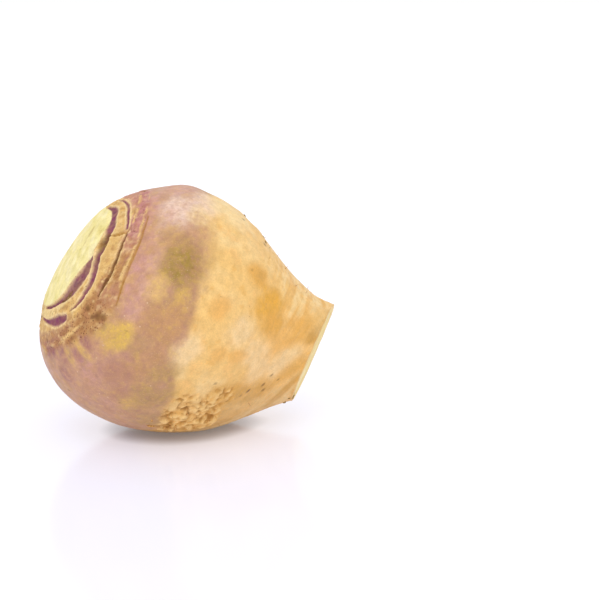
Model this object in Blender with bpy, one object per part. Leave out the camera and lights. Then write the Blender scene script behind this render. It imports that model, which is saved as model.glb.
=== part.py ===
"""A swede lying on its side: a trimmed leaf crown at one end, a cut root at the other.

One grown piece, so one solid. It is a stack of growth rings along a slightly
bowed axis, closed by the domed crown and the flat root cut, with the leaf scars
sunk into the crown and a small flat worn under the globe where it rests.
The origin is in the middle of that flat. +Z is up, and the root end points to +X.
"""

import bmesh
import bpy
import numpy as np

MM = 0.001

# Growth rings from the middle of the crown to the middle of the root cut:
# distance along the axis (mm), height of the ring's centre over the axis (mm),
# radius (mm), lean of the ring back from upright (degrees) and swivel of the
# ring about the vertical (degrees).
RINGS = (
    (-6.0, 3.0, 0.0, -12, -4),
    (-5.7, 2.8, 8.0, -12, -4),
    (-4.9, 2.4, 16.0, -12, -4),
    (-3.5, 2.0, 24.0, -12, -4),
    (-0.6, 0.8, 32.0, -12, -4),
    (5.8, -2.4, 42.8, -11, -4),
    (13.8, -4.4, 50.2, -9, -3),
    (26.6, -5.2, 57.0, -7, -2),
    (41.0, -6.8, 58.6, -3, -1),
    (54.5, -7.0, 57.2, -1, 0),
    (68.5, -7.0, 52.9, 1, 2),
    (80.5, -7.2, 47.4, 2, 4),
    (91.0, -7.2, 41.0, 2, 7),
    (99.5, -6.0, 35.4, 2, 10),
    (107.5, -4.6, 30.8, 1, 13),
    (114.5, -2.8, 27.6, 0, 16),
    (118.8, -1.4, 25.8, 0, 18),
    (120.0, -1.2, 24.4, 0, 18),
    (120.2, -1.0, 12.0, 0, 18),
    (120.2, -1.0, 0.0, 0, 18),
)
SIDE_SHARE = 0.985  # a ring's half width over its half height

# Leaf scars, as rings sunk into the crown: radius, depth and width (mm).
SCARS = (
    (29.4, 0.8, 1.5),
    (34.6, 0.5, 1.1),
    (41.4, 0.6, 1.1),
    (47.4, 0.4, 1.0),
)

# The three lobes of the globe: share of the radius, and the angle of the first.
LOBE_SHARE = 0.008
LOBE_ANGLE = 40

# How it lies: the axis dips towards the root and turns away from the front.
DIP = 23.3
TURN = 10.2
REST_POINT = (45.6, 10.0, -82.1)  # the middle of the resting flat, seen from the crown

# The mesh: points round each ring, and rows over each stretch of the swede.
SEGMENTS = 56
DOME_ROWS = 5
SCAR_ROWS = 25
GLOBE_ROWS = 22
CUT_ROWS = 6
SKIN_COLOUR = (0.62, 0.42, 0.27, 1.0)


def smooth_rows(table, at):
    """Catmull-Rom interpolation of the table's rows at fractional row numbers."""
    last = len(table) - 1
    row = np.clip(np.floor(at).astype(int), 0, last - 1)
    part = (at - row)[:, None]
    here = table[row]
    there = table[row + 1]
    before = np.where((row > 0)[:, None], table[np.maximum(row - 1, 0)], 2 * here - there)
    after = np.where(
        (row < last - 1)[:, None], table[np.minimum(row + 2, last)], 2 * there - here
    )
    return 0.5 * (
        2 * here
        + (there - before) * part
        + (2 * before - 5 * here + 4 * there - after) * part**2
        + (3 * here - 3 * there + after - before) * part**3
    )


def row_numbers():
    """Where along RINGS the mesh has its rows: close together over the leaf scars."""
    return np.concatenate(
        [
            np.linspace(0.0, 3.2, DOME_ROWS, endpoint=False),
            np.linspace(3.2, 5.9, SCAR_ROWS, endpoint=False),
            np.linspace(5.9, 16.0, GLOBE_ROWS, endpoint=False),
            np.linspace(16.0, len(RINGS) - 1.0, CUT_ROWS),
        ]
    )


def ring_points(at, angle):
    """Points (rows, angles, 3) in mm: each ring is its centre plus a lobed ellipse."""
    along, lift, radius, lean, swivel = smooth_rows(np.array(RINGS, float), at).T
    lean = np.radians(lean)
    swivel = np.radians(swivel)
    level = np.zeros_like(along)
    centre = np.stack([along, level, lift], axis=-1)
    upright = np.stack([-np.sin(lean), level, np.cos(lean)], axis=-1)
    sideways = np.stack([np.sin(swivel), np.cos(swivel), level], axis=-1)
    fullness = np.clip(radius, 0, None) / max(ring[2] for ring in RINGS)
    lobes = 1 + LOBE_SHARE * fullness[:, None] ** 2 * np.cos(
        3 * (angle[None, :] - np.radians(LOBE_ANGLE))
    )
    reach = np.clip(radius, 0, None)[:, None, None] * lobes[:, :, None]
    ring = (
        np.cos(angle)[None, :, None] * upright[:, None, :]
        + SIDE_SHARE * np.sin(angle)[None, :, None] * sideways[:, None, :]
    )
    return centre[:, None, :] + reach * ring, radius


def outward(points):
    """Unit normals of the grid, pointing out of the swede."""
    down_rows = np.gradient(points, axis=0)
    round_ring = np.roll(points, -1, axis=1) - np.roll(points, 1, axis=1)
    normal = np.cross(down_rows, round_ring)
    normal /= np.maximum(np.linalg.norm(normal, axis=2, keepdims=True), 1e-9)
    middle = points.reshape(-1, 3).mean(axis=0)
    facing = np.sign((normal * (points - middle)).sum())
    return normal * facing


def sink_scars(points, radius, at):
    """Sinks each leaf scar as a rounded groove, on the crown side only."""
    depth = np.zeros_like(radius)
    for scar_radius, scar_depth, scar_width in SCARS:
        across = (radius - scar_radius) / scar_width
        depth += scar_depth * np.exp(-(across**2))
    depth[at > 7.0] = 0.0
    return points - outward(points) * depth[:, None, None]


def lay_down(points):
    """Dips and turns the axis, and moves the resting flat's middle to the origin."""
    dip = np.radians(DIP)
    turn = np.radians(TURN)
    dipped = np.array(
        [[np.cos(dip), 0, np.sin(dip)], [0, 1, 0], [-np.sin(dip), 0, np.cos(dip)]]
    )
    turned = np.array(
        [[np.cos(turn), -np.sin(turn), 0], [np.sin(turn), np.cos(turn), 0], [0, 0, 1]]
    )
    return points @ (turned @ dipped).T - np.array(REST_POINT)


def skin_mesh():
    """The closed grid of rings, with one vertex at each end."""
    at = row_numbers()
    angle = np.linspace(0, 2 * np.pi, SEGMENTS, endpoint=False)
    points, radius = ring_points(at, angle)
    points = lay_down(sink_scars(points, radius, at))
    crown_middle = points[0].mean(axis=0)
    root_middle = points[-1].mean(axis=0)
    body = points[1:-1]
    rows = len(body)
    vertices = np.concatenate([body.reshape(-1, 3), [crown_middle, root_middle]]) * MM
    first = np.arange(rows - 1)[:, None] * SEGMENTS
    here = np.arange(SEGMENTS)[None, :]
    beside = (here + 1) % SEGMENTS
    quads = np.stack(
        [first + here, first + beside, first + SEGMENTS + beside, first + SEGMENTS + here],
        axis=-1,
    ).reshape(-1, 4)
    crown = rows * SEGMENTS
    last = (rows - 1) * SEGMENTS
    fan_crown = np.stack([beside[0], here[0], np.full(SEGMENTS, crown)], axis=-1)
    fan_root = np.stack([last + here[0], last + beside[0], np.full(SEGMENTS, crown + 1)], axis=-1)
    mesh = bpy.data.meshes.new("swede")
    faces = quads.tolist() + fan_crown.tolist() + fan_root.tolist()
    mesh.from_pydata(vertices.tolist(), [], faces)
    return mesh


def wear_flat(mesh):
    """Cuts the mesh level at the floor and closes it with one flat face."""
    work = bmesh.new()
    work.from_mesh(mesh)
    everything = work.verts[:] + work.edges[:] + work.faces[:]
    bmesh.ops.bisect_plane(
        work,
        geom=everything,
        dist=1e-7,
        plane_co=(0, 0, 0),
        plane_no=(0, 0, -1),
        clear_outer=True,
    )
    rim = [edge for edge in work.edges if edge.is_boundary]
    bmesh.ops.contextual_create(work, geom=rim)
    bmesh.ops.recalc_face_normals(work, faces=work.faces[:])
    for face in work.faces:
        face.smooth = True
    work.to_mesh(mesh)
    work.free()


def skin_material():
    material = bpy.data.materials.new("skin")
    material.use_nodes = True
    shader = material.node_tree.nodes["Principled BSDF"]
    shader.inputs["Base Color"].default_value = SKIN_COLOUR
    shader.inputs["Roughness"].default_value = 0.5
    shader.inputs["Metallic"].default_value = 0.0
    return material


def main():
    for obj in list(bpy.data.objects):
        bpy.data.objects.remove(obj)
    mesh = skin_mesh()
    wear_flat(mesh)
    mesh.materials.append(skin_material())
    bpy.context.scene.collection.objects.link(bpy.data.objects.new("swede", mesh))


main()
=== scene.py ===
"""A raw swede lying on its side on a pale studio floor.

The skin is one closed surface: growth rings along a slightly bowed axis, with the
leaf scars, the neck's wrinkles and the scab under the globe worked into it. Its
colours are laid over each other on the same grid, and the material adds the
speckles, pores and sheen. Rootlets and crumbs of soil are pieces of their own.
"""

import bpy
import numpy as np
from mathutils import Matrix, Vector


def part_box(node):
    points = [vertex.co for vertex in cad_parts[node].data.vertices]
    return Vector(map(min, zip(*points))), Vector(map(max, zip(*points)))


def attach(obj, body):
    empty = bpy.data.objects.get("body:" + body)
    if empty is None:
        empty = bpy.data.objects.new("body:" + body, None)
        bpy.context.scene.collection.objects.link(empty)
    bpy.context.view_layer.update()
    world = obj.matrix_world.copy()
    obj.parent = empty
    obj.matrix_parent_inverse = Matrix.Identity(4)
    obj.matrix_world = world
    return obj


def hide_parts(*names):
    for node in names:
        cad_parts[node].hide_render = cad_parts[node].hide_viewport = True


bl_info = {
    "name": "Swede",
    "version": (1, 0, 0),
    "blender": (4, 5, 0),
    "location": "View3D > Sidebar > Swede",
    "description": "Builds the skin, rootlets, soil and studio of a raw swede",
    "category": "Object",
}

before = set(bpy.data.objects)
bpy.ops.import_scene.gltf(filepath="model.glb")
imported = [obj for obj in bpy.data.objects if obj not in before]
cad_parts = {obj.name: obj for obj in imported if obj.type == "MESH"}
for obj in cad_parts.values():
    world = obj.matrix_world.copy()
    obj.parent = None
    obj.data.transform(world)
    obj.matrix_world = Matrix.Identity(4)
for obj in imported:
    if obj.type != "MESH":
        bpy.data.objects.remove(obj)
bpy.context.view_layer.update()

MM = 0.001
BODY = "root"
NODE = "swede"

# Growth rings from the middle of the crown to the middle of the root cut:
# distance along the axis (mm), height of the ring's centre over the axis (mm),
# radius (mm), lean back from upright (degrees), swivel about the vertical (degrees).
RINGS = (
    (-6.0, 3.0, 0.0, -12, -4),
    (-5.7, 2.8, 8.0, -12, -4),
    (-4.9, 2.4, 16.0, -12, -4),
    (-3.5, 2.0, 24.0, -12, -4),
    (-0.6, 0.8, 32.0, -12, -4),
    (5.8, -2.4, 42.8, -11, -4),
    (13.8, -4.4, 50.2, -9, -3),
    (26.6, -5.2, 57.0, -7, -2),
    (41.0, -6.8, 58.6, -3, -1),
    (54.5, -7.0, 57.2, -1, 0),
    (68.5, -7.0, 52.9, 1, 2),
    (80.5, -7.2, 47.4, 2, 4),
    (91.0, -7.2, 41.0, 2, 7),
    (99.5, -6.0, 35.4, 2, 10),
    (107.5, -4.6, 30.8, 1, 13),
    (114.5, -2.8, 27.6, 0, 16),
    (118.8, -1.4, 25.8, 0, 18),
    (120.0, -1.2, 24.4, 0, 18),
    (120.2, -1.0, 12.0, 0, 18),
    (120.2, -1.0, 0.0, 0, 18),
)
# The widest ring, each ring's breadth as a share of its height, and its three faint
# lobes. Then the axis: how far its root end dips and how far it turns away (degrees).
WIDEST = max(ring[2] for ring in RINGS)
SIDE_SHARE = 0.985
LOBE_SHARE = 0.008
LOBE_ANGLE = 40
DIP = 23.3
TURN = 10.2
REST_POINT = (45.6, 10.0, -82.1)  # the middle of the resting flat, seen from the crown

# The surface grid. Rows are spaced by distance over the surface from the middle of
# the crown: up to each distance (mm), one row every so many mm.
SEGMENTS = 288
ROW_SPACING = ((26.0, 0.8), (62.0, 0.36), (155.0, 0.66), (185.0, 0.5), (220.0, 1.1))
CUT_DISC = 27.7  # edge of the trimmed crown disc
ROOT_FACE = 17.2  # ring number at which the face of the root cut starts

# Courses over the crown as (angle round it in degrees, distance from its middle in
# mm, half width in mm). Angle 0 is the top and -90 the side that faces the front.
# Each scar is (kind, depth in mm, course). A negative depth is a ridge.
SCARS = (
    # The long scar that hugs the disc, purple, then brown where it is torn, then purple.
    ("purple", 0.9, ((5, 26.5, 0.5), (-15, 29, 2), (-30, 29, 2.2), (-45, 30.5, 2.2), (-60, 31, 0.7))),
    ("brown", 1.0, ((-50, 30.5, 1), (-60, 31, 2.2), (-75, 32.5, 1.4))),
    (
        "purple",
        0.9,
        ((-65, 31.5, 0.7), (-75, 32.5, 1.7), (-90, 37.5, 1.5), (-105, 39.5, 0.9), (-118, 39, 0.3)),
    ),
    # The crescent under the disc, with a torn brown spot near its lower end.
    (
        "purple",
        1.1,
        (
            (-70, 27, 0.4), (-80, 28.5, 1.6), (-90, 30, 3), (-105, 30, 3.5), (-120, 30, 2.2),
            (-135, 29.5, 1.1), (-165, 28.5, 0.6),
        ),
    ),
    ("brown", 0.5, ((-112, 30.5, 0.6), (-120, 31, 1.3), (-130, 30, 0.4))),
    # Thin lines outside them.
    ("purple", 0.5, ((10, 32.5, 0.4), (-15, 36, 0.7), (-30, 37.5, 0.7), (-45, 40, 0.5))),
    ("brown", 0.7, ((-50, 41.5, 0.4), (-60, 42, 0.6), (-75, 44.5, 0.8), (-85, 45.5, 1), (-93, 46.5, 0.3))),
    ("ochre", 0.4, ((-35, 48.5, 0.3), (-45, 49, 0.5), (-60, 50.5, 0.6), (-75, 52.5, 0.6), (-90, 57, 0.3))),
    ("ochre", 0.7, ((-53, 32.5, 0.5), (-51, 37, 0.9), (-48, 41.5, 0.4))),
    ("purple", 0.7, ((-170, 33.5, 0.5), (-150, 36, 1.2), (-135, 38, 2.3), (-125, 39.5, 1.4))),
    # The far side of the crown.
    ("purple", 0.8, ((60, 28, 0.4), (75, 29, 1.5), (100, 30.5, 2.4), (125, 29, 1), (135, 28.5, 0.4))),
    ("purple", 0.8, ((20, 33, 0.4), (50, 37, 1.1), (80, 39, 1.1), (120, 34.5, 0.4))),
    ("brown", 0.7, ((70, 43, 0.4), (95, 45, 0.9), (125, 42.5, 0.9), (170, 34, 0.3))),
    ("ochre", 0.4, ((20, 45, 0.3), (55, 50, 0.8), (95, 52.5, 0.3))),
    ("purple", 0.6, ((110, 49.5, 0.4), (140, 50, 1.3), (170, 46, 0.5))),
    ("purple", 0.9, ((15, 28, 0.5), (30, 29, 1.4), (55, 28, 0.3))),
    # Low tan ridges between the scars.
    ("tan", -0.4, ((10, 43, 0.4), (-15, 42, 0.8), (-40, 42, 0.5))),
    ("tan", -0.4, ((-5, 46.5, 0.3), (-30, 46.5, 0.7), (-60, 49, 0.8), (-75, 51, 0.8), (-90, 55, 0.4))),
    ("tan", -0.6, ((-155, 46.5, 0.8), (-135, 47.5, 1.3), (-110, 49, 0.6))),
    ("tan", -0.4, ((-130, 43, 0.5), (-115, 43.5, 1), (-100, 42.5, 0.4))),
    ("tan", -0.4, ((30, 42, 0.5), (55, 44, 1), (80, 47.5, 0.4))),
    ("tan", -0.4, ((125, 46.5, 0.5), (150, 43.5, 1), (175, 39.5, 0.5))),
)

# Low swellings and dents as (angle, distance, reach along, reach round, height), mm.
SWELLINGS = (
    (-5, 93, 5, 10, 0.5),
    (-5, 104, 4, 9, 0.6),
    (-30, 128, 7, 14, 0.5),
    (40, 96, 9, 18, 0.9),
    (110, 88, 12, 16, -0.8),
    (150, 120, 10, 14, 0.7),
    (-60, 60, 9, 16, -0.5),
    (-8, 150, 5, 16, -1.4),
)

# Where the mauve shoulder gives way to the cream root side: distance from the crown
# (mm) against the angle round the swede (degrees), and how soft the change is (mm).
SHOULDER_LINE = (
    (-180, 110), (-150, 112), (-135, 108), (-120, 103), (-105, 96), (-90, 91), (-75, 88), (-60, 84),
    (-45, 80), (-30, 75), (-15, 72), (15, 75), (40, 90), (65, 84), (95, 98), (120, 92), (150, 106),
    (180, 110),
)
SHOULDER_SOFTNESS = (
    (-180, 5), (-125, 3), (-110, 1.5), (-98, 1.5), (-70, 5), (20, 6), (110, 6), (180, 6),
)
# Where the corky crown gives way to smooth skin, in the same terms.
CORK_LINE = (
    (-180, 47), (-150, 50), (-135, 51), (-120, 54), (-105, 57), (-90, 57), (-75, 53), (-60, 51),
    (-45, 49), (-15, 46), (15, 46), (70, 51), (95, 53), (150, 48), (180, 47),
)

# Colours as they look in daylight, red, green and blue out of 255.
CREAM = (242, 198, 130)
PALE_CREAM = (250, 222, 172)
WHITE_CREAM = (245, 212, 165)
APRICOT = (243, 190, 122)
ORANGE = (236, 176, 98)
GOLD = (230, 170, 70)
OCHRE = (226, 168, 82)
BROWN_OCHRE = (204, 154, 82)
MAUVE = (197, 150, 127)
BROWN_MAUVE = (192, 146, 102)
PINK = (214, 166, 160)
# Pale pink skin with a painted highlight on it.
PALE_PINK_HIGHLIGHT = (240, 212, 206)
LILAC = (204, 150, 156)
OLIVE = (154, 128, 56)
OLIVE_TAN = (180, 145, 98)
YELLOW = (224, 186, 92)
TAN = (220, 180, 120)
CORK = (190, 142, 100)
RUSSET = (166, 114, 76)
PURPLE = (128, 60, 102)
DEEP_PURPLE = (88, 38, 68)
PURPLE_BROWN = (170, 120, 106)
DARK_BROWN = (98, 60, 34)
SCAB = (236, 180, 106)
# The scab's crests take a painted highlight; its brown is both the colour of its specks and painted shade in
# its hollows and pits.
SCAB_CREST_HIGHLIGHT = (250, 212, 150)
SCAB_BROWN_AND_SHADE = (160, 108, 48)
FLESH = (243, 229, 168)
FLESH_GREEN = (228, 214, 132)
FLESH_PALE = (252, 240, 200)
ROOT_FLESH = (244, 218, 152)
LIP = (244, 216, 166)
# Darker cream laid as painted shade on the skin near the floor.
PAINTED_LOW_SHADE = (208, 160, 94)
NECK_LINE = (228, 172, 92)
RIM_STAIN = (228, 168, 84)
CORK_GOLD = (220, 176, 104)
CORK_MAUVE = (172, 116, 108)
CORK_ROSE = (180, 112, 122)
CORK_LILAC = (190, 126, 142)
CORK_PALE = (240, 216, 160)
CORK_TICK = (176, 130, 76)
# Painted highlight for the cork's crests and painted shade for its hollows.
CORK_CREST_HIGHLIGHT = (240, 208, 152)
CORK_HOLLOW_SHADE = (132, 86, 56)
OCHRE_LINE = (172, 122, 52)
TAN_RIDGE = (230, 190, 126)
DIRTY_FLESH = (196, 164, 84)
KNIFE_STROKE = (176, 146, 92)
BLUSH = (178, 126, 116)
WARM_CLOUD = (222, 170, 96)
CORK_SPECK = (140, 92, 62)
OCHRE_FLECK = (224, 188, 142)
LENTICEL = (232, 202, 170)
SKIN_SPECK = (156, 112, 68)
SOIL = ((112, 88, 52), (168, 134, 80))
DRY_SCAB = ((180, 126, 62), (228, 176, 104))

# Soft stripes of colour round the crown: (colour, strength, course as for the scars).
STRIPES = (
    (LILAC, 0.95, ((25, 46, 1.5), (0, 47, 4), (-15, 47.5, 3.8), (-45, 51, 1.2))),
    (PURPLE, 0.55, ((-15, 45.5, 1.2), (-30, 45.5, 1.8), (-45, 45, 1.8), (-65, 46, 0.9))),
    (LILAC, 0.85, ((-45, 53, 1.5), (-60, 55, 3), (-75, 58, 4), (-90, 62, 3.5))),
    (PINK, 0.7, ((-30, 57, 3), (-60, 60, 3.5), (-90, 66, 3))),
    (PURPLE_BROWN, 0.6, ((-118, 49.5, 1.2), (-140, 50.5, 2.2), (-165, 49, 1.2))),
    (YELLOW, 0.5, ((-112, 52, 0.6), (-125, 52.5, 1.4), (-135, 52.5, 0.6))),
    (LILAC, 0.7, ((30, 47, 2), (60, 52.5, 2.6), (95, 55, 3), (150, 50, 1.4))),
)
# The one dirty knife stroke on the crown disc, in the same terms.
DISC_STROKE = ((-15, 18, 0.4), (-35, 15.5, 1.1), (-60, 14, 0.4))

# Blooms of colour on the skin: (colour, strength, distance from the crown in mm,
# angle round the swede in degrees, reach along it and reach round it in mm).
BLOOMS = (
    # Pink and pale skin on top of the shoulder, paling to cream. The pale pink blooms are partly pale skin
    # and partly a painted highlight.
    (PINK, 0.8, 60, -5, 12, 14),
    (PALE_PINK_HIGHLIGHT, 1.0, 61, -30, 10, 15),
    (PALE_PINK_HIGHLIGHT, 0.8, 72, -18, 9, 12),
    (PALE_CREAM, 0.6, 71, -32, 6, 8),
    # Partly pale skin, partly a painted highlight along the top.
    (PALE_CREAM, 0.8, 86, -15, 14, 14),
    (TAN, 0.4, 79, -42, 6, 8),
    # The olive bruise, with brown round it.
    (BROWN_MAUVE, 0.8, 64, -62, 9, 12),
    (OLIVE_TAN, 0.9, 70, -61, 14, 15),
    (OLIVE, 0.9, 74, -60, 11, 12),
    (TAN, 0.6, 83, -52, 5, 9),
    # Yellow flecks between the bruise and the front.
    (TAN, 0.95, 68, -75, 7, 7),
    (YELLOW, 0.6, 80, -72, 4, 4),
    (YELLOW, 0.7, 81, -79, 4, 5),
    (BROWN_MAUVE, 0.9, 82, -87, 10, 12),
    (BROWN_MAUVE, 0.3, 73, -90, 8, 8),
    (BROWN_MAUVE, 0.7, 84, -106, 9, 12),
    # The yellow blotch under the crown.
    (OLIVE, 0.9, 55, -103, 4, 5),
    (YELLOW, 1.0, 66, -102, 7, 9),
    (YELLOW, 0.8, 58, -104, 5, 6),
    (OLIVE_TAN, 0.8, 58, -103, 2.5, 2.5),
    # Purple smudges low on the shoulder, then olive towards the floor.
    (MAUVE, 0.7, 70, -140, 10, 16),
    (PURPLE_BROWN, 0.5, 76, -118, 8, 8),
    (PURPLE_BROWN, 0.5, 84, -128, 5, 7),
    (OLIVE_TAN, 0.5, 76, -100, 5, 7),
    (OLIVE_TAN, 0.8, 93, -108, 8, 12),
    (OLIVE_TAN, 0.9, 96, -122, 9, 12),
    (OLIVE_TAN, 0.8, 105, -140, 10, 12),
    (YELLOW, 0.4, 90, -132, 5, 6),
    # A deeper tone over the front of the neck and low on the root side.
    (ORANGE, 0.65, 148, -85, 28, 28),
    (BROWN_OCHRE, 0.6, 135, -140, 22, 14),
    # Pale clouds on the cream side.
    (WHITE_CREAM, 0.9, 95, -94, 7, 9),
    (WHITE_CREAM, 0.8, 114, -77, 9, 9),
    (WHITE_CREAM, 0.7, 128, -86, 9, 9),
    (WHITE_CREAM, 0.7, 138, -97, 9, 8),
    (WHITE_CREAM, 0.8, 151, -93, 9, 10),
    (PALE_CREAM, 0.3, 98, -35, 9, 10),
    # Orange and golden patches on it.
    (ORANGE, 0.7, 98, -71, 6, 7),
    (ORANGE, 0.6, 110, -92, 5, 5),
    (ORANGE, 0.6, 120, -90, 6, 4),
    (OCHRE, 0.9, 109, -45, 8, 7),
    (GOLD, 1.0, 123, -56, 11, 12),
    (OCHRE, 0.9, 129, -64, 9, 8),
    (BROWN_OCHRE, 0.5, 111, -43, 3, 3),
    # Brown smudges at the neck and its rim.
    (OCHRE, 0.6, 148, -58, 8, 8),
    (BROWN_OCHRE, 1.0, 157, -62, 6, 6),
    (BROWN_OCHRE, 1.0, 166, -80, 4, 6),
    (TAN, 0.8, 160, -40, 12, 12),
    (OCHRE, 0.6, 160, -100, 8, 8),
    (BROWN_OCHRE, 0.9, 168, -130, 4, 12),
    # The freckled brown skin low on the root side.
    (BROWN_OCHRE, 0.8, 128, -114, 11, 9),
    (BROWN_OCHRE, 0.7, 145, -118, 12, 8),
    # The far side and the underside.
    (PINK, 0.6, 62, 25, 14, 16),
    (OLIVE, 0.7, 76, 55, 12, 12),
    (BROWN_MAUVE, 0.6, 66, 85, 12, 14),
    (YELLOW, 0.7, 72, 110, 6, 8),
    (OLIVE_TAN, 0.7, 95, 130, 14, 14),
    (PALE_CREAM, 0.7, 100, 50, 10, 10),
    (OCHRE, 0.7, 112, 30, 7, 8),
    (OCHRE, 0.7, 120, 95, 8, 9),
    (WHITE_CREAM, 0.6, 130, 60, 8, 8),
    (PURPLE_BROWN, 0.5, 60, 160, 10, 10),
    (BROWN_OCHRE, 0.6, 130, 165, 12, 12),
)

# Smudges laid over crown and shoulder alike, in the same terms.
SMUDGES = (
    (RUSSET, 0.7, 53, -102, 4, 4),
    (RUSSET, 0.6, 52, -111, 6, 6),
    (RUSSET, 0.6, 47, -102, 2, 3),
    (PURPLE, 0.6, 56, -117, 6, 3),
    (PURPLE, 0.6, 58, -127, 7, 3),
    (PURPLE, 0.6, 54, -138, 6, 4),
    (PURPLE, 0.65, 49, -152, 5, 7),
    (PURPLE, 0.5, 61, -146, 6, 4),
    (YELLOW, 0.7, 60, -122, 8, 2.5),
    (YELLOW, 0.6, 58, -133, 8, 2.5),
    (LILAC, 0.5, 66, -128, 8, 10),
    (LILAC, 0.3, 46, -15, 3, 8),
)

# Dark marks on the skin: (distance from the crown in mm, angle, reach in mm, strength).
MARKS = (
    # The torn spot where the lowest leaf sat.
    (53, -101, 2.4, 0.8), (51, -103.5, 1.6, 0.75), (55.5, -99, 1.8, 0.75), (46, -103, 1.6, 0.8),
    # Single specks on the shoulder.
    (69, -155, 1, 0.8), (87, -134, 0.8, 0.6), (68, -98, 0.8, 0.4), (44, -155, 1, 0.8),
    # Pits in the freckled skin near the neck.
    (141, -113, 1.2, 0.8), (138, -116, 0.8, 0.6), (149, -111, 1.1, 0.7), (152, -117, 1, 0.7),
    (150, -103, 0.9, 0.7), (118, -107, 0.8, 0.5), (132, -119, 0.7, 0.6), (157, -109, 0.8, 0.6),
    # Specks on the upper side and the far side.
    (93, -12, 0.9, 0.6), (108, -15, 1.2, 0.6), (104, -45, 0.7, 0.4), (78, -60, 0.7, 0.4),
    (110, 60, 1, 0.7), (130, 110, 0.9, 0.7), (96, 90, 0.9, 0.5), (146, 30, 0.9, 0.6),
)

# The sheen adds white, so the colours are laid a little warmer than they look.
WARMTH = (1.0, 0.985, 0.88)

# The scab under the globe: distance, angle, reach along and reach round.
SCAB_PATCH = (119, -133, 21, 25)

# Rootlets as (distance from the crown in mm, angle, length in mm).
ROOTLETS = (
    (125, -10, 3.5), (119, -5, 1.5), (133, -20, 2), (108, -5, 1.5), (112, -25, 1.5),
    (140, -15, 1.5), (146, 20, 2), (131, 48, 2.5), (122, 80, 2), (138, 112, 3),
    (150, 150, 2), (128, 164, 2.5), (143, -150, 2), (156, -96, 1), (149, -128, 1.5),
    (101, 60, 1.5), (116, 132, 2), (135, 84, 1.5),
)

ROOTLET_CLEARANCE = 0.3  # the least height of a rootlet's middle over the floor, in mm

# Crumbs as (distance from the crown in mm, angle, size in mm).
SOIL_CRUMBS = (
    (32.5, 10, 1), (33.5, -175, 0.9), (45, 5, 0.6), (95, 0, 0.7), (107, -5, 0.7), (109, -10, 0.8),
    (108, -15, 0.5), (112, -10, 0.4), (31, -120, 0.7), (30.5, -117, 0.5),
    (182, -165, 0.9), (181, -160, 0.7), (183, -170, 0.8), (180, -150, 0.6), (182, -145, 0.5),
    (184, -155, 0.8), (183, -150, 0.7), (40, 70, 0.6), (44, 110, 0.7), (120, 70, 0.6),
)
SCAB_CRUMBS = (
    (109, -148, 1.6), (112, -144, 1.8), (115, -148, 1.5), (118, -144, 1.9), (121, -148, 1.5),
    (106, -140, 0.8), (110, -134, 0.7), (117, -130, 0.9), (123, -134, 0.9), (125, -124, 0.7),
    (113, -122, 0.6), (119, -118, 0.6), (127, -142, 1), (131, -136, 0.6), (114, -154, 1.2),
)


def from_daylight(colour):
    """The linear light of a 0 to 255 colour: its share of 255 to the power 2.2."""
    return (np.asarray(colour, float) / 255.0) ** 2.2


def smooth_rows(table, at):
    """Catmull-Rom interpolation of the table's rows at fractional row numbers."""
    last = len(table) - 1
    row = np.clip(np.floor(at).astype(int), 0, last - 1)
    part = (at - row)[:, None]
    here = table[row]
    there = table[row + 1]
    before = np.where((row > 0)[:, None], table[np.maximum(row - 1, 0)], 2 * here - there)
    after = np.where((row < last - 1)[:, None], table[np.minimum(row + 2, last)], 2 * there - here)
    return 0.5 * (
        2 * here
        + (there - before) * part
        + (2 * before - 5 * here + 4 * there - after) * part**2
        + (3 * here - 3 * there + after - before) * part**3
    )


def ease(low, high, value):
    """0 below low, 1 above high, and the S curve 3t^2 - 2t^3 between them."""
    part = np.clip((value - low) / (high - low), 0.0, 1.0)
    return part * part * (3 - 2 * part)


def corner_number(corner, seed):
    """A fixed number from -1 to 1 for each whole-number corner of a lattice."""
    mixed = (corner * np.array([73856093, 19349663, 83492791])).sum(axis=-1) + seed * 7919
    mixed = mixed & 0xFFFFFFFF
    mixed = ((mixed ^ (mixed >> 13)) * 1274126177) & 0xFFFFFFFF
    mixed = ((mixed ^ (mixed >> 15)) * 668265263) & 0xFFFFFFFF
    return ((mixed >> 8) & 0xFFFF) / 32767.5 - 1.0


# Each pattern made with cloudy starts from a seed of its own.


def soft_noise(points, size, seed):
    """Lattice noise: the eight corners' numbers blended with the curve 6t^5 - 15t^4 + 10t^3."""
    cell = points / size
    corner = np.floor(cell).astype(np.int64)
    part = cell - corner
    part = part**3 * (part * (6 * part - 15) + 10)
    total = np.zeros(points.shape[:-1])
    for step in np.ndindex(2, 2, 2):
        share = np.where(np.array(step) == 1, part, 1 - part).prod(axis=-1)
        total += share * corner_number(corner + np.array(step), seed)
    return total


def cloudy(points, size, seed, octaves=4):
    """Layers of soft noise, each half the size and half the height of the one before."""
    total = np.zeros(points.shape[:-1])
    height = 0.0
    for layer in range(octaves):
        total += soft_noise(points, size / 2**layer, seed + layer) / 2**layer
        height += 1 / 2**layer
    return total / height


def ring_points(at, angle):
    """Each ring is its centre plus a lobed ellipse in its own leaning plane. In mm."""
    along, lift, radius, lean, swivel = smooth_rows(np.array(RINGS, float), at).T
    lean = np.radians(lean)
    swivel = np.radians(swivel)
    level = np.zeros_like(along)
    centre = np.stack([along, level, lift], axis=-1)
    upright = np.stack([-np.sin(lean), level, np.cos(lean)], axis=-1)
    sideways = np.stack([np.sin(swivel), np.cos(swivel), level], axis=-1)
    fullness = np.clip(radius, 0, None) / WIDEST
    lobes = 1 + LOBE_SHARE * fullness[:, None] ** 2 * np.cos(
        3 * (angle[None, :] - np.radians(LOBE_ANGLE))
    )
    reach = np.clip(radius, 0, None)[:, None, None] * lobes[:, :, None]
    ring = (
        np.cos(angle)[None, :, None] * upright[:, None, :]
        + SIDE_SHARE * np.sin(angle)[None, :, None] * sideways[:, None, :]
    )
    return centre[:, None, :] + reach * ring


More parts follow.
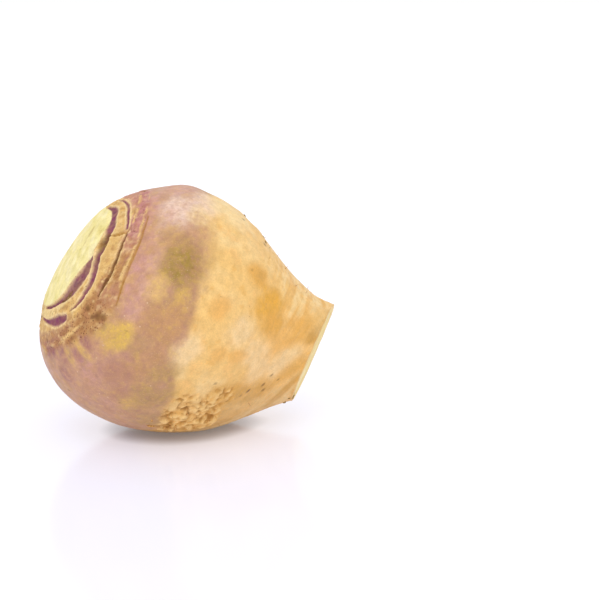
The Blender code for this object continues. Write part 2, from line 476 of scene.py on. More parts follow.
def lay_down(points):
    """Dips and turns the axis, and brings the resting flat's middle to the origin."""
    dip = np.radians(DIP)
    turn = np.radians(TURN)
    dipped = np.array([[np.cos(dip), 0, np.sin(dip)], [0, 1, 0], [-np.sin(dip), 0, np.cos(dip)]])
    turned = np.array([[np.cos(turn), -np.sin(turn), 0], [np.sin(turn), np.cos(turn), 0], [0, 0, 1]])
    return points @ (turned @ dipped).T - np.array(REST_POINT)


def distance_over(points):
    """Distance over the surface from the first row, added up from row to row."""
    steps = np.linalg.norm(np.diff(points, axis=0), axis=2)
    return np.concatenate([np.zeros((1, points.shape[1])), np.cumsum(steps, axis=0)])


def outward(points):
    """Unit normals of a grid of rings: the cross product of its two directions."""
    down_rows = np.gradient(points, axis=0)
    round_ring = np.roll(points, -1, axis=1) - np.roll(points, 1, axis=1)
    normal = np.cross(down_rows, round_ring)
    normal /= np.maximum(np.linalg.norm(normal, axis=2, keepdims=True), 1e-9)
    middle = points.reshape(-1, 3).mean(axis=0)
    return normal * np.sign((normal * (points - middle)).sum())


def row_numbers():
    """Ring numbers of the grid's rows, from the wanted spacing over the surface."""
    trial = np.linspace(0, len(RINGS) - 1.0, 3000)
    side = distance_over(ring_points(trial, np.array([-np.pi / 2, np.pi / 2]))).mean(axis=1)
    wanted = [0.0]
    for limit, spacing in ROW_SPACING:
        while wanted[-1] + spacing < min(limit, side[-1]):
            wanted.append(wanted[-1] + spacing)
    wanted.append(side[-1])
    return np.interp(wanted, side, trial)


def ring_angles():
    """Angles round a ring, in radians: closer together where the scab is."""
    fine = np.linspace(-np.pi, np.pi, 2881)
    crowd = ease(-170, -145, np.degrees(fine)) * (1 - ease(-70, -40, np.degrees(fine)))
    share = np.concatenate([[0.0], np.cumsum(1 + 1.1 * 0.5 * (crowd[1:] + crowd[:-1]))])
    return np.interp(np.linspace(0, share[-1], SEGMENTS + 1)[:-1], share, fine)


def on_swede(limit_box):
    """The bare grid: points (mm), ring number, angle and distance from the crown.

    The rings' own box is brought onto the CAD node's box, so the skin goes where the
    CAD solid is.
    """
    at = row_numbers()
    angle = ring_angles()
    points = lay_down(ring_points(at, angle))
    points[..., 2] = np.maximum(points[..., 2], 0.0)
    low = points.min(axis=(0, 1))
    high = points.max(axis=(0, 1))
    box_low = np.array(limit_box[0]) / MM
    box_high = np.array(limit_box[1]) / MM
    points = (points - low) / (high - low) * (box_high - box_low) + box_low
    over = distance_over(points)
    return points, at, np.degrees(angle), over


def local_mean(values, rows, turns):
    """The mean over a small window of the grid: running sums down rows and round rings."""
    padded = np.pad(values, ((rows + 1, rows), (0, 0)), mode="edge")
    total = np.cumsum(padded, axis=0)
    mean = (total[2 * rows + 1 :] - total[: -2 * rows - 1]) / (2 * rows + 1)
    return sum(np.roll(mean, step, axis=1) for step in range(-turns, turns + 1)) / (2 * turns + 1)


def course_cover(flat, course, soft):
    """How far each point of the flattened crown is inside a course, from 0 to 1.

    The course is smoothed, and the cover is 1 minus the eased ratio of the distance
    from the nearest stretch to the half width there.
    """
    table = np.array(course, float)
    line = smooth_rows(table, np.linspace(0, len(table) - 1.0, 6 * len(table)))
    turn = np.radians(line[:, 0])
    bends = np.stack([line[:, 1] * np.cos(turn), line[:, 1] * np.sin(turn)], axis=1)
    nearest = np.full(flat.shape[:-1], 1e9)
    for start, end, thick, thin in zip(bends[:-1], bends[1:], line[:-1, 2], line[1:, 2]):
        stretch = end - start
        part = np.clip(((flat - start) @ stretch) / (stretch @ stretch), 0, 1)
        gap = np.linalg.norm(flat - start - part[..., None] * stretch, axis=-1)
        width = np.maximum(thick + (thin - thick) * part, 0.05)
        nearest = np.minimum(nearest, gap / width)
    return 1 - ease(1 - soft, 1 + soft, nearest)


def across_angle(table, angle):
    """A table of (angle, value) read at each angle, straight between its entries."""
    table = np.array(table, float)
    return np.interp(angle, table[:, 0], table[:, 1])


def lay(colours, cover, colour):
    """One daylight colour laid over the others, as thickly as cover says."""
    return lay_light(colours, cover, from_daylight(colour))


def lay_light(colours, cover, light):
    """The same for a colour given as linear light: light * cover + colours * (1 - cover)."""
    cover = np.clip(cover, 0, 1)[..., None]
    return colours * (1 - cover) + np.array(light) * cover


def angle_apart(angle, middle):
    """Degrees from middle, the short way round."""
    return (angle - middle + 180) % 360 - 180


class Skin:
    """The swede's surface as arrays over one grid: shape, masks and colours."""

    def __init__(self, limit_box, settings):
        points, at, angle, over = on_swede(limit_box)
        self.base = points
        self.facing = outward(points)
        self.at = at
        self.angle = np.broadcast_to(angle[None, :], over.shape)
        self.over = over
        self.settings = settings
        turn = np.radians(self.angle)
        wander = np.stack([cloudy(points, 8.0, seed, 3) for seed in (11, 23, 37)], axis=-1)
        self.wandered = points + 2.2 * wander
        rounded = np.stack([over, 14 * np.cos(turn), 14 * np.sin(turn)], axis=-1)
        self.girth = smooth_rows(np.array(RINGS, float), at)[:, 2:3]
        self.streaks = cloudy(rounded, 3.2, 43, 3)
        self.mottle = 0.7 * cloudy(points, 5.0, 41, 4) + 0.3 * self.streaks
        self.lines = cloudy(rounded * np.array([1.0, 0.28, 0.28]), 1.9, 45, 2)
        wobble = 0.4 * cloudy(points, 3.0, 51, 3)
        reach = over + wobble
        self.flat = np.stack([reach * np.cos(turn), reach * np.sin(turn)], axis=-1)
        self.drift = cloudy(points, 9.0, 57, 4)
        self.find_masks()
        self.raise_surface()
        self.lay_colours()

    def gap_from(self, distance, middle, along, around):
        """Distance over the skin from a place, as a share of the reaches along and round."""
        sweep = np.radians(angle_apart(self.angle, middle)) * self.girth
        return np.hypot((self.over - distance) / along, sweep / around)

    def bloom_cover(self, distance, middle, along, around):
        """A bloom that fades from its middle, exp(-gap^2), with a cloudy edge."""
        fall = np.exp(-((self.gap_from(distance, middle, along, around) + 0.22 * self.drift) ** 2))
        return ease(0.15, 0.85, fall * (1 + 0.6 * self.mottle))

    def find_masks(self):
        """Where disc, cork, shoulder, scab, root cut, scars and stripes lie, each from 0 to 1.

        A zone is the eased distance past its outline, with noise added to that distance.
        """
        over = self.over
        angle = self.angle
        edge_noise = cloudy(self.base, 7.0, 61, 4)
        disc = CUT_DISC - 2.2 * np.exp(-((angle_apart(angle, 5) / 12.0) ** 2))
        disc = disc - 1.8 * np.exp(-((angle_apart(angle, -103) / 18.0) ** 2))
        self.flesh_crown = 1 - ease(disc - 0.2, disc + 0.2, over + 0.3 * edge_noise)
        line = across_angle(CORK_LINE, angle)
        self.cork = (1 - ease(-1.6, 1.6, over - line + 3.0 * edge_noise)) * (1 - self.flesh_crown)
        line = across_angle(SHOULDER_LINE, angle)
        soft = across_angle(SHOULDER_SOFTNESS, angle)
        drift = over - line + (3.0 + 0.8 * soft) * (0.6 * edge_noise + 0.7 * self.mottle)
        self.shoulder = 1 - ease(-1.0, 1.0, drift / soft)
        self.scab = 1 - ease(0.6, 1.0, self.gap_from(*SCAB_PATCH) + 0.45 * edge_noise)
        self.scab *= ease(-2.0, 1.5, over - across_angle(SHOULDER_LINE, angle) + 5.0 * edge_noise)
        self.face = np.broadcast_to(ease(ROOT_FACE - 0.35, ROOT_FACE, self.at)[:, None], over.shape)
        near = over < 75.0
        self.covers = []
        for kind, depth, course in SCARS:
            cover = np.zeros(over.shape)
            cover[near] = course_cover(self.flat[near], course, 0.75 if kind == "tan" else 0.4)
            if kind == "tan":
                cover = cover * ease(-0.3, 0.3, self.mottle + 0.8 * edge_noise)
            self.covers.append((kind, depth, cover))
        self.stripes = []
        for colour, strength, course in STRIPES:
            cover = np.zeros(over.shape)
            cover[near] = course_cover(self.flat[near], course, 0.9)
            self.stripes.append((colour, strength, cover))

    def raise_surface(self):
        """Moves each point outward by the sum of all the heights, in mm.

        Hollows and crests are where the sum is under or over its own local mean; the colours put painted
        shade in the hollows and a painted highlight on the crests.
        """
        points = self.base
        over = self.over
        smooth = 1 - self.face
        height = 0.4 * cloudy(points, 26.0, 71, 2) * smooth
        height += 0.14 * cloudy(points, 7.0, 73, 3) * smooth * (1 - self.flesh_crown)
        height += 0.05 * self.streaks * smooth * (1 - self.flesh_crown)
        for middle, distance, along, around, lift in SWELLINGS:
            sweep = np.radians(angle_apart(self.angle, middle)) * 50.0
            gap = ((over - distance) / along) ** 2 + (sweep / around) ** 2
            height += lift * np.exp(-gap)
        for _, depth, cover in self.covers:
            height -= depth * cover * self.settings.scar_depth
        crust = np.abs(cloudy(points, 3.0, 81, 3))
        height += self.cork * (0.45 * cloudy(points, 1.8, 83, 3) + 0.3 * crust)
        height += 0.25 * self.flesh_crown * (1 - ease(0.0, 1.2, CUT_DISC - over))
        height += 0.06 * self.flesh_crown * cloudy(self.knife, 2.2, 85, 2)
        height += self.wrinkles()
        height += self.scab_height()
        height += self.face * 0.18 * cloudy(points, 4.0, 87, 3)
        fall = height - local_mean(height, 5, 2)
        # Masks for painted shade in the hollows and a painted highlight on the crests.
        self.hollow_shade = ease(0.05, 0.5, -fall)
        self.crest_highlight = ease(0.05, 0.4, fall)
        points = points + self.facing * height[..., None]
        points[..., 2] = np.maximum(points[..., 2], 0.0)
        self.points = points

    @property
    def knife(self):
        """The knife's strokes run steeply down the crown disc."""
        return self.base * np.array([1.0, 0.35, 0.22])

    def wrinkles(self):
        """Rings round the neck: waves of distance from the crown, broken by noise."""
        over = self.over
        shift = 1.6 * cloudy(self.base, 14.0, 91, 2)
        wave = np.sin((over + shift) * 2 * np.pi / 3.1) + 0.6 * np.sin((over + 2 * shift) * 2 * np.pi / 1.9)
        broken = ease(-0.35, 0.45, cloudy(self.base, 10.0, 93, 3))
        amount = ease(100.0, 128.0, over) * (1 - self.face)
        shoulder = 0.3 * (1 - ease(58.0, 72.0, over)) * (1 - self.cork) * (1 - self.flesh_crown)
        return self.settings.wrinkle_height * wave * broken * (amount + shoulder)

    def scab_height(self):
        """A crust of lumps with steep edges over the scab, split by pits and cracks."""
        lumps = ease(-0.25, 0.3, cloudy(self.wandered, 5.5, 97, 3))
        grain = cloudy(self.base, 2.4, 99, 3)
        cracks = 1 - ease(0.0, 0.14, np.abs(cloudy(self.wandered, 6.5, 113, 3)))
        self.pits = ease(0.22, 0.5, cloudy(self.base, 5.0, 115, 2)) * self.scab
        height = 1.5 * lumps + 0.6 * grain - 0.9 * cracks - 0.2
        return (self.scab * height - 1.2 * self.pits) * self.settings.scab_height

    def lay_colours(self):
        """Lays each colour over those before it: root side, shoulder, blooms, crown, scab."""
        points = self.wandered
        over = self.over
        mottle = self.mottle
        middling = cloudy(points, 6.0, 103, 4)
        fine = cloudy(self.base, 2.4, 105, 3)
        colours = np.broadcast_to(np.array(self.settings.root_side), self.base.shape).copy()
        # Painted shade: the skin is laid darker towards the floor, by its height above it.
        low = 1 - ease(12.0, 45.0, self.base[..., 2])
        colours = lay(colours, 0.85 * low, PAINTED_LOW_SHADE)
        colours = lay(colours, 0.5 * ease(-0.1, 0.5, cloudy(points, 16.0, 101, 3)), PALE_CREAM)
        colours = lay(colours, 0.5 * ease(0.1, 0.45, middling), APRICOT)
        colours = lay(colours, 0.4 * ease(0.2, 0.6, mottle), OCHRE)
        neck = ease(106.0, 130.0, over) * (0.1 + 0.9 * (1 - ease(45.0, 85.0, np.abs(self.angle))))
        colours = lay(colours, 0.6 * neck * ease(0.05, 0.3, self.lines), NECK_LINE)
        colours = lay(colours, 0.5 * neck * ease(0.05, 0.3, -self.lines), PALE_CREAM)
        flecks = ease(0.3, 0.55, cloudy(self.wandered, 3.4, 119, 3)) * (1 - low)
        colours = lay(colours, 0.4 * flecks, OCHRE)
        skin = np.broadcast_to(np.array(self.settings.shoulder), self.base.shape).copy()
        skin = lay(skin, 0.6 * ease(0.0, 0.5, cloudy(points, 14.0, 107, 3)), OLIVE_TAN)
        skin = lay(skin, 0.4 * ease(0.1, 0.5, middling), BROWN_MAUVE)
        skin = lay(skin, 0.35 * ease(0.15, 0.5, -middling), PURPLE_BROWN)
        skin = lay(skin, 0.3 * ease(0.1, 0.5, mottle), PINK)
        cover = self.shoulder[..., None]
        colours = colours * (1 - cover) + skin * cover
        for colour, strength, *place in BLOOMS:
            colours = lay(colours, strength * self.bloom_cover(*place), colour)
        for colour, strength, cover in self.stripes:
            colours = lay(colours, strength * cover * ease(-0.5, 0.3, mottle), colour)
        colours = lay(colours, (0.05 + 0.2 * self.shoulder) * ease(0.1, 0.5, fine) * (1 - self.face), YELLOW)
        colours = lay(colours, 0.28 * ease(0.1, 0.5, -fine) * self.shoulder, PURPLE_BROWN)
        colours = self.lay_crown(colours, middling, fine)
        for colour, strength, *place in SMUDGES:
            colours = lay(colours, strength * self.bloom_cover(*place) * ease(-0.5, 0.2, fine), colour)
        colours = self.lay_scab(colours)
        for distance, middle, reach, strength in MARKS:
            gap = self.gap_from(distance, middle, reach, reach) + 0.25 * middling
            colours = lay(colours, strength * (1 - ease(0.4, 1.3, gap)), DARK_BROWN)
        rim = np.exp(-(((self.at[:, None] - 16.1) / 0.3) ** 2)) * ease(-0.3, 0.3, mottle)
        colours = lay(colours, 0.5 * rim * (self.base[..., 2] < 45), RIM_STAIN)
        colours = lay(colours, self.face, ROOT_FLESH)
        colours = lay(colours, 0.6 * self.face * ease(0.0, 0.5, cloudy(points, 9.0, 109, 3)), FLESH_PALE)
        ring = np.exp(-(((over.max(axis=0) - over - 21.0) / 0.5) ** 2)) * self.face
        self.colours = lay(colours, 0.35 * ring, OCHRE) * np.array(WARMTH)

    def lay_crown(self, colours, middling, fine):
        """The corky crown, its ridges and scars, and the cut disc in the middle."""
        over = self.over
        cork = np.broadcast_to(from_daylight(TAN), self.base.shape).copy()
        cork = lay(cork, 0.5 * ease(0.0, 0.5, middling), CORK_GOLD)
        line = 43.0 + 2.0 * np.cos(np.radians(angle_apart(self.angle, 180)))
        outer = ease(line - 1.5, line + 0.5, over)
        cork = lay(cork, 0.85 * outer, CORK)
        cork = lay(cork, 0.6 * ease(0.0, 0.35, self.mottle) * outer, RUSSET)
        cork = lay(cork, 0.65 * ease(-0.1, 0.2, -middling) * outer, CORK_MAUVE)
        upper = 1 - ease(30.0, 55.0, np.abs(angle_apart(self.angle, -14)))
        rosy = upper * ease(41.5, 43.0, over) * ease(-0.4, 0.1, self.mottle)
        cork = lay(cork, 0.75 * rosy, CORK_ROSE)
        beyond = ease(0.0, 1.0, over - 33.4 - 0.1 * np.abs(angle_apart(self.angle, 0)))
        cork = lay(cork, 0.75 * upper * beyond * ease(-0.5, 0.1, middling), CORK_LILAC)
        pale = (1 - ease(33.0, 34.5, over)) * ease(96.0, 112.0, np.abs(self.angle))
        cork = lay(cork, 0.85 * pale, CORK_PALE)
        drawn_out = np.stack([over * 0.25, self.flat[..., 0], self.flat[..., 1]], axis=-1)
        ticks = ease(0.2, 0.45, cloudy(drawn_out, 1.5, 123, 2))
        cork = lay(cork, 0.5 * pale * ticks, CORK_TICK)
        low = ease(112.0, 126.0, np.abs(self.angle)) * ease(39.0, 41.0, over) * (1 - ease(45.0, 46.5, over))
        cork = lay(cork, 0.65 * low, PURPLE_BROWN)
        front_low = ease(84.0, 100.0, -self.angle) * (1 - ease(125.0, 145.0, -self.angle))
        cork = lay(cork, 0.6 * front_low * ease(40.0, 44.0, over) * ease(-0.5, 0.2, -middling), RUSSET)
        cork = lay(cork, 0.35 * ease(0.1, 0.5, fine), PALE_CREAM)
        cork = lay(cork, 0.45 * ease(0.1, 0.45, -fine), RUSSET)
        # Painted highlight on the cork's crests and painted shade in its hollows.
        cork = lay(cork, 0.75 * self.crest_highlight, CORK_CREST_HIGHLIGHT)
        cork = lay(cork, 0.6 * self.hollow_shade, CORK_HOLLOW_SHADE)
        lower = ease(86.0, 100.0, -self.angle) * (1 - ease(140.0, 165.0, -self.angle))
        self.freckles = (0.4 + 0.6 * outer) * np.maximum(lower, 0.6 * ease(-0.3, 0.2, self.mottle))
        cover = self.cork[..., None]
        colours = colours * (1 - cover) + cork * cover
        tints = {
            "purple": self.settings.scar,
            "brown": from_daylight(DARK_BROWN),
            "ochre": from_daylight(OCHRE_LINE),
            "tan": from_daylight(TAN_RIDGE),
        }
        thick = {"purple": 1.0, "brown": 0.92, "ochre": 0.75, "tan": 0.6}
        for kind, _, cover in self.covers:
            if kind == "purple":
                lip = ease(0.05, 0.3, local_mean(cover, 4, 2)) * ease(-0.6, 0.1, self.mottle)
                colours = lay(colours, 0.9 * lip, LIP)
        for kind, _, cover in self.covers:
            shade = 1 - 0.2 * ease(0.0, 0.5, middling)
            colours = lay_light(colours, thick[kind] * cover * shade, tints[kind])
            if kind == "purple":
                deep = ease(0.75, 1.0, local_mean(cover, 2, 1)) * ease(-0.2, 0.3, self.mottle)
                colours = lay(colours, 0.55 * deep, DEEP_PURPLE)
        streak = cloudy(self.knife, 2.2, 121, 3)
        flesh = np.broadcast_to(np.array(self.settings.flesh), self.base.shape).copy()
        flesh = lay(flesh, 0.6 * ease(0.0, 0.5, streak), FLESH_PALE)
        flesh = lay(flesh, 0.5 * ease(0.0, 0.5, -streak), FLESH_GREEN)
        dirty = ease(0.25, 0.6, -streak) * ease(0.0, 0.4, self.mottle)
        flesh = lay(flesh, 0.4 * dirty, DIRTY_FLESH)
        stroke = course_cover(self.flat, DISC_STROKE, 0.9) * ease(-0.5, 0.2, self.mottle)
        flesh = lay(flesh, 0.55 * stroke, KNIFE_STROKE)
        cover = self.flesh_crown[..., None]
        return colours * (1 - cover) + flesh * cover

    def lay_scab(self, colours):
        """Orange cream crust, with a painted highlight on its crests and brown painted shade in its hollows
        and pits.
        """
        colours = lay(colours, 0.75 * self.scab * ease(-0.5, 0.4, self.mottle), SCAB)
        # Painted highlight on the crests, painted shade in the hollows and pits.
        colours = lay(colours, 0.7 * self.scab * self.crest_highlight, SCAB_CREST_HIGHLIGHT)
        colours = lay(colours, 0.6 * self.hollow_shade * self.scab, SCAB_BROWN_AND_SHADE)
        return lay(colours, 0.6 * self.pits, SCAB_BROWN_AND_SHADE)

    def spot(self, distance, middle):
        """The skin's point and outward direction at a distance and an angle. In mm."""
        turn = int(np.abs(angle_apart(self.angle[0], middle)).argmin())
        row = int(np.abs(self.over[:, turn] - distance).argmin())
        return self.points[row, turn], self.facing[row, turn]


def put_attribute(mesh, name, kind, values):
    """Stores one array of values on the mesh's points."""
    attribute = mesh.attributes.new(name, kind, "POINT")
    slot = {"FLOAT_COLOR": "color", "FLOAT_VECTOR": "vector", "FLOAT": "value"}[kind]
    attribute.data.foreach_set(slot, values.astype(np.float32).ravel())


def rings_mesh(name, grid, extras):
    """A closed skin over a grid of rings whose first and last rows are single points."""
    rows, segments = grid.shape[:2]
    body = grid[1:-1]
    count = rows - 2
    vertices = np.concatenate([body.reshape(-1, 3), grid[:1, 0], grid[-1:, 0]])
    first = np.arange(count - 1)[:, None] * segments
    here = np.arange(segments)[None, :]
    beside = (here + 1) % segments
    quads = np.stack(
        [first + here, first + segments + here, first + segments + beside, first + beside], axis=-1
    ).reshape(-1, 4)
    crown = count * segments
    last = (count - 1) * segments
    near = np.stack([here[0], beside[0], np.full(segments, crown)], axis=-1)
    far = np.stack([last + beside[0], last + here[0], np.full(segments, crown + 1)], axis=-1)
    mesh = bpy.data.meshes.new(name)
    mesh.from_pydata(vertices.tolist(), [], quads.tolist() + near.tolist() + far.tolist())
    mesh.polygons.foreach_set("use_smooth", np.ones(len(mesh.polygons), bool))
    for label, kind, values in extras:
        flat = values[1:-1].reshape(-1, values.shape[-1])
        ends = np.stack([values[0].mean(axis=0), values[-1].mean(axis=0)])
        put_attribute(mesh, label, kind, np.concatenate([flat, ends]))
    return mesh


def add_piece(name, mesh, material):
    """Links the piece, gives it its material and slot, and lets it ride on the body."""
    obj = bpy.data.objects.new(name, mesh)
    bpy.context.scene.collection.objects.link(obj)
    mesh.materials.append(material)
    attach(obj, BODY)
    return obj


def add_node(tree, kind, values=None, **settings):
    """A node with its settings and the values of its named or numbered sockets."""
    node = tree.nodes.new(kind)
    for key, value in settings.items():
        setattr(node, key, value)
    for key, value in (values or {}).items():
        if isinstance(value, bpy.types.NodeSocket):
            tree.links.new(value, node.inputs[key])
        else:
            node.inputs[key].default_value = value
    return node


def mix_colours(tree, share, first, second, blend="MIX"):
    """The second colour over the first, as far as share says."""
    node = add_node(tree, "ShaderNodeMix", data_type="RGBA", blend_type=blend)
    for index, value in ((0, share), (6, first), (7, second)):
        if isinstance(value, bpy.types.NodeSocket):
            tree.links.new(value, node.inputs[index])
        else:
            node.inputs[index].default_value = value
    return node.outputs[2]


def do_math(tree, operation, first, second=0.0):
    """A Math node: one operation on two values or sockets."""
    node = add_node(tree, "ShaderNodeMath", {0: first, 1: second}, operation=operation)
    return node.outputs[0]


def spread(tree, value, low, high, to_low=0.0, to_high=1.0):
    """Maps a value from one range to another, with eased ends."""
    node = add_node(
        tree,
        "ShaderNodeMapRange",
        {"Value": value, "From Min": low, "From Max": high, "To Min": to_low, "To Max": to_high},
        interpolation_type="SMOOTHSTEP",
    )
    return node.outputs["Result"]


def new_group(name, inputs, outputs):
    """An empty shader node group with its sockets, and its two end nodes."""
    group = bpy.data.node_groups.new(name, "ShaderNodeTree")
    for label, kind, value in inputs:
        socket = group.interface.new_socket(label, in_out="INPUT", socket_type=kind)
        if value is not None:
            socket.default_value = value
    for label, kind in outputs:
        group.interface.new_socket(label, in_out="OUTPUT", socket_type=kind)
    return group, group.nodes.new("NodeGroupInput"), group.nodes.new("NodeGroupOutput")


def speckle_group():
    """Scattered round specks: cells whose random number is high, near their middle."""
    group, start, end = new_group(
        "Speckle",
        (
            ("Vector", "NodeSocketVector", None),
            ("Scale", "NodeSocketFloat", 800.0),
            ("Size", "NodeSocketFloat", 0.3),
            ("Share", "NodeSocketFloat", 0.3),
        ),
        (("Mask", "NodeSocketFloat"),),
    )
    cells = add_node(
        group, "ShaderNodeTexVoronoi", {"Vector": start.outputs["Vector"], "Scale": start.outputs["Scale"]}
    )
    near = do_math(group, "DIVIDE", cells.outputs["Distance"], start.outputs["Size"])
    round_speck = spread(group, near, 1.0, 0.55)
    parts = add_node(group, "ShaderNodeSeparateColor", {0: cells.outputs["Color"]})
    chosen = do_math(group, "LESS_THAN", parts.outputs[0], start.outputs["Share"])
    mask = do_math(group, "MULTIPLY", round_speck, chosen)
    group.links.new(mask, end.inputs["Mask"])
    return group


def mottle_group():
    """Cloudy light and dark, as a number that swings about 1."""
    group, start, end = new_group(
        "Mottle",
        (
            ("Vector", "NodeSocketVector", None),
            ("Scale", "NodeSocketFloat", 300.0),
            ("Detail", "NodeSocketFloat", 4.0),
            ("Low", "NodeSocketFloat", 0.9),
            ("High", "NodeSocketFloat", 1.1),
        ),
        (("Value", "NodeSocketFloat"),),
    )
    cloud = add_node(
        group,
        "ShaderNodeTexNoise",
        {
            "Vector": start.outputs["Vector"],
            "Scale": start.outputs["Scale"],
            "Detail": start.outputs["Detail"],
            "Roughness": 0.6,
        },
    )
    value = spread(
        group, cloud.outputs[0], 0.3, 0.7, start.outputs["Low"], start.outputs["High"]
    )
    group.links.new(value, end.inputs["Value"])
    return group


def placed(tree, group, values):
    """A node group placed in a material with its own values; gives its first output."""
    node = tree.nodes.new("ShaderNodeGroup")
    node.node_tree = group
    for key, value in values.items():
        if isinstance(value, bpy.types.NodeSocket):
            tree.links.new(value, node.inputs[key])
        else:
            node.inputs[key].default_value = value
    return node.outputs[0]


def tubes_mesh(name, paths, thickness):
    """Closed tapering tubes: circles in the plane across each path, a point at each end."""
    sides = 7
    turn = np.arange(sides) * 2 * np.pi / sides
    vertices = []
    faces = []
    for path, radius in zip(paths, thickness):
        run = np.gradient(path, axis=0)
        run /= np.linalg.norm(run, axis=1, keepdims=True)
        across = np.cross(run, np.array([0.31, 0.52, 0.79]))
        across /= np.linalg.norm(across, axis=1, keepdims=True)
        beside = np.cross(run, across)
        circle = (
            np.cos(turn)[None, :, None] * across[:, None, :]
            + np.sin(turn)[None, :, None] * beside[:, None, :]
        )
        tube = path[:, None, :] + radius[:, None, None] * circle
        start = len(vertices)
        rows = len(path)
        vertices += [*tube.reshape(-1, 3).tolist(), path[0].tolist(), path[-1].tolist()]
        here = np.arange(sides)
        beside_here = (here + 1) % sides
        first = start + np.arange(rows - 1)[:, None] * sides
        quads = np.stack(
            [first + here, first + beside_here, first + sides + beside_here, first + sides + here], axis=-1
        )
        faces += quads.reshape(-1, 4).tolist()
        ends = start + rows * sides
        last = start + (rows - 1) * sides
        faces += [[start + b, start + a, ends] for a, b in zip(here, beside_here)]
        faces += [[last + a, last + b, ends + 1] for a, b in zip(here, beside_here)]
    mesh = bpy.data.meshes.new(name)
    mesh.from_pydata(vertices, [], faces)
    mesh.polygons.foreach_set("use_smooth", np.ones(len(mesh.polygons), bool))
    return mesh


def crumbs_mesh(name, places):
    """Closed lumps: a ball whose radius is swelled and dented by noise, half sunk."""
    rings = 9
    sides = 12
    tilt = np.linspace(0, np.pi, rings)
    turn = np.arange(sides) * 2 * np.pi / sides
    ball = np.stack(
        [
            np.sin(tilt)[:, None] * np.cos(turn)[None, :],
            np.sin(tilt)[:, None] * np.sin(turn)[None, :],
            np.repeat(np.cos(tilt)[:, None], sides, axis=1),
        ],
        axis=-1,
    )
    vertices = []
    faces = []
    here = np.arange(sides)
    beside = (here + 1) % sides
    for number, (point, facing, size) in enumerate(places):
        lump = 1 + 0.45 * cloudy(ball + 7.0 * number, 0.9, 131, 2)
        stretch = 1 + 0.35 * corner_number(np.array([[number, 1, 2], [number, 3, 4], [number, 5, 6]]), 9)
        grid = ball * lump[..., None] * stretch
        grid = grid - 0.4 * (grid @ facing)[..., None] * facing
        grid = (grid * size + point - 0.2 * size * facing) * MM
        grid = grid - np.array([0.0, 0.0, min(grid[..., 2].min(), 0.0)])
        start = len(vertices)
        vertices += [*grid[1:-1].reshape(-1, 3).tolist(), grid[0, 0].tolist(), grid[-1, 0].tolist()]
        first = start + np.arange(rings - 3)[:, None] * sides
        quads = np.stack(
            [first + here, first + sides + here, first + sides + beside, first + beside], axis=-1
        )
        faces += quads.reshape(-1, 4).tolist()
        top = start + (rings - 2) * sides
        last = start + (rings - 3) * sides
        faces += [[start + a, start + b, top] for a, b in zip(here, beside)]
        faces += [[last + b, last + a, top + 1] for a, b in zip(here, beside)]
    mesh = bpy.data.meshes.new(name)
    mesh.from_pydata(vertices, [], faces)
    mesh.polygons.foreach_set("use_smooth", np.ones(len(mesh.polygons), bool))
    return mesh


def linear4(colour):
    """A daylight colour as linear light, with full cover."""
    return (*from_daylight(colour), 1.0)


